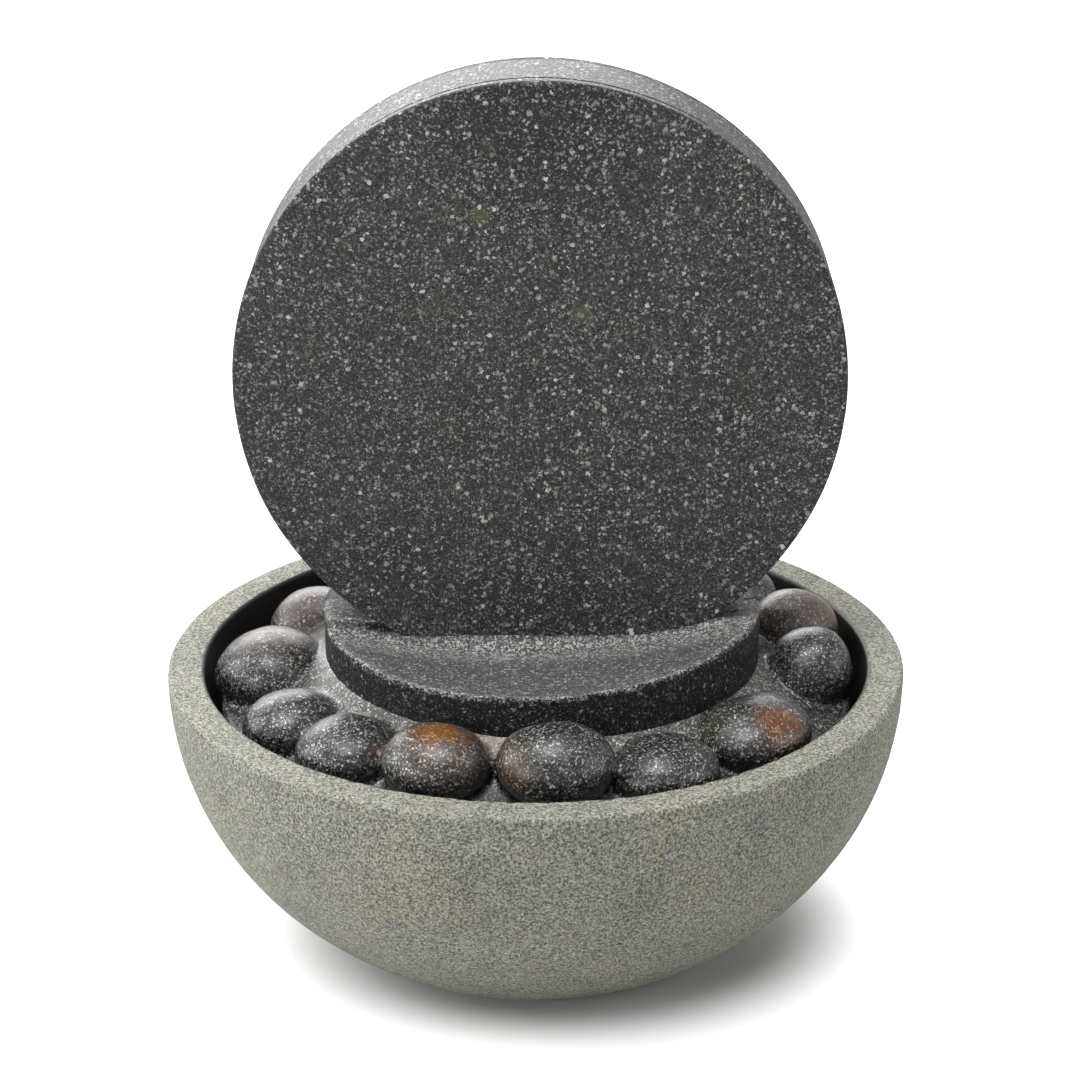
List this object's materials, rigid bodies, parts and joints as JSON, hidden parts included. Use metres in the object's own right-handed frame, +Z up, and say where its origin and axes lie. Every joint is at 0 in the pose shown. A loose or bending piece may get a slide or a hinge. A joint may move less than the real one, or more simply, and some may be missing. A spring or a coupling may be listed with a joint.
{
  "type": "indoor fountain",
  "caption": "Tabletop fountain: a round stone bowl with a lift-out insert of moulded pebbles, a scooped pedestal and an upright disc, over a submersible pump.",
  "frame": {"origin": "centre of the underside of the foot pad, on the surface it stands on", "axes": "+Z up along the bowl's axis; the disc's face looks towards -Y; +X to the right"},
  "size_m": [0.3, 0.3, 0.3681],
  "materials": {
    "bowl_stone": "matte",
    "disc_stone": "satin",
    "pebble_stone": "satin",
    "black_rubber": "matte",
    "pump_plastic": "matte",
    "white_plastic": "matte",
    "grey_plastic": "matte",
    "clear_tube": "gloss",
    "shaft_ceramic": "gloss",
    "magnet_ferrite": "satin",
    "filter_foam": "matte",
    "screw_steel": "satin"
  },
  "bodies": {
    "basin": {"base_pad": "black_rubber", "bowl": "bowl_stone", "support_lugs": "bowl_stone", "support_pads": "black_rubber", "pump_body": "pump_plastic", "pump_cord_gland": "black_rubber", "pump_suction_cups": "black_rubber", "pump_volute": "pump_plastic", "outlet_adapter": "grey_plastic", "impeller_shaft": "shaft_ceramic", "shaft_bushes": "black_rubber"},
    "insert": {"pebble_tray": "pebble_stone", "tube_grommet": "black_rubber", "pedestal": "disc_stone", "disc_shell": "disc_stone", "disc_back_cover": "disc_stone", "cover_screws": "screw_steel", "spreader_trough": "grey_plastic", "riser_tube": "clear_tube"},
    "rotor": {"impeller": "white_plastic", "impeller_magnet": "magnet_ferrite"},
    "pump_cover": {"pump_inlet_cover": "pump_plastic", "intake_filter": "filter_foam"},
    "flow_regulator": {"flow_gate": "grey_plastic"}
  },
  "joints": [
    {"name": "insert_lift", "type": "slide", "parent": "basin", "child": "insert", "axis": [0, 0, 1], "range_m": [0, 0.08]},
    {"name": "rotor_spin", "type": "hinge", "parent": "basin", "child": "rotor", "pos_m": [0.0026, 0, 0.037], "axis": [0, 1, 0], "continuous": true},
    {"name": "cover_pull", "type": "slide", "parent": "basin", "child": "pump_cover", "axis": [0, -1, 0], "range_m": [0, 0.02]},
    {"name": "gate_slide", "type": "slide", "parent": "pump_cover", "child": "flow_regulator", "axis": [1, 0, 0], "range_m": [0, 0.009]}
  ]
}
